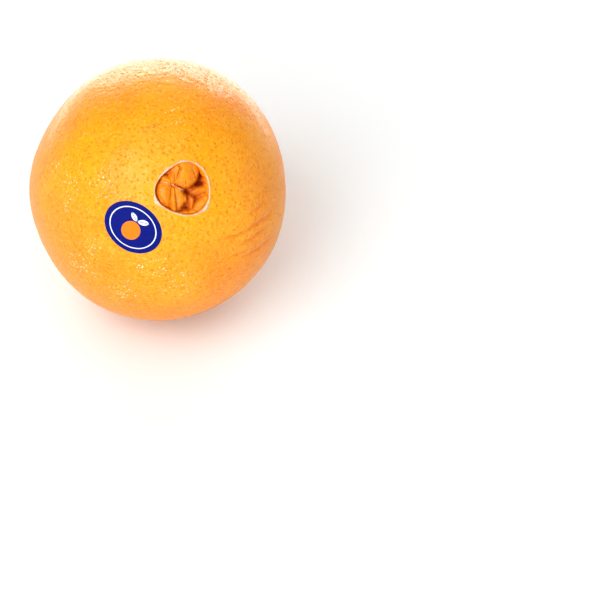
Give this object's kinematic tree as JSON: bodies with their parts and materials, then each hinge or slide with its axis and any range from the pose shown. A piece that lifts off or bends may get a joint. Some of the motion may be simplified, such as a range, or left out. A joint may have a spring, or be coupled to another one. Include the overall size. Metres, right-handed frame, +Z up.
{
  "type": "navel orange",
  "caption": "Whole ripe navel orange resting on its side, with a lobed navel, a dried stem button and a plain oval fruit label on the skin.",
  "frame": {"origin": "centre of the small flat spot that the fruit rests on", "axes": "+Z up, square to the flat spot; -Y is the front, which the navel faces, tipped up by 45 degrees and turned 15 degrees towards +X"},
  "size_m": [0.0833, 0.0844, 0.0834],
  "materials": {
    "orange_skin": "waxed orange rind, finely pored, with a soft sheen",
    "stem_wood": "dry woody calyx, matte grey-green to brown",
    "label_paper": "coated label, navy blue with a thin pale line, satin"
  },
  "bodies": {
    "root": {"orange_fruit": "orange_skin", "stem_button": "stem_wood", "fruit_label": "label_paper"}
  },
  "joints": []
}
